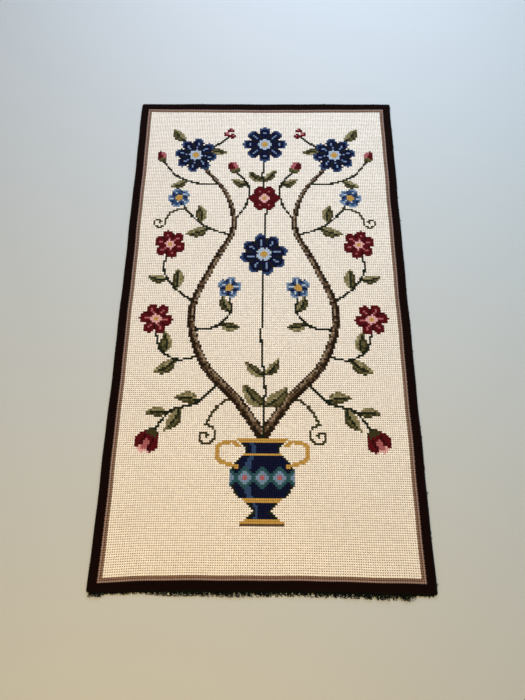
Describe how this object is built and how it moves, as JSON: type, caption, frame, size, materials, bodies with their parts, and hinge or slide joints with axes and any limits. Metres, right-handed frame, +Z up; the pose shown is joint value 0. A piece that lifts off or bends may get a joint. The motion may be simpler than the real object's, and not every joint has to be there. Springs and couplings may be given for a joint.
{
  "type": "arraiolos rug",
  "caption": "Small rectangular wool needlework rug lying flat, with a turned hem, a rolled dark border and a short yarn fringe on one end.",
  "frame": {"origin": "on the floor, under the middle of the whole rug with its fringe", "axes": "+X across the rug to the right, +Y along its length away from the fringed end, +Z up"},
  "size_m": [0.7424, 1.357, 0.0055],
  "materials": {
    "needlework_wool": "matt wool in long-armed cross stitch, cream field, near-black border",
    "fringe_yarn": "matt, fuzzy dark yarn"
  },
  "bodies": {
    "root": {"stitched_cloth": "needlework_wool", "near_fringe": "fringe_yarn"}
  },
  "joints": []
}
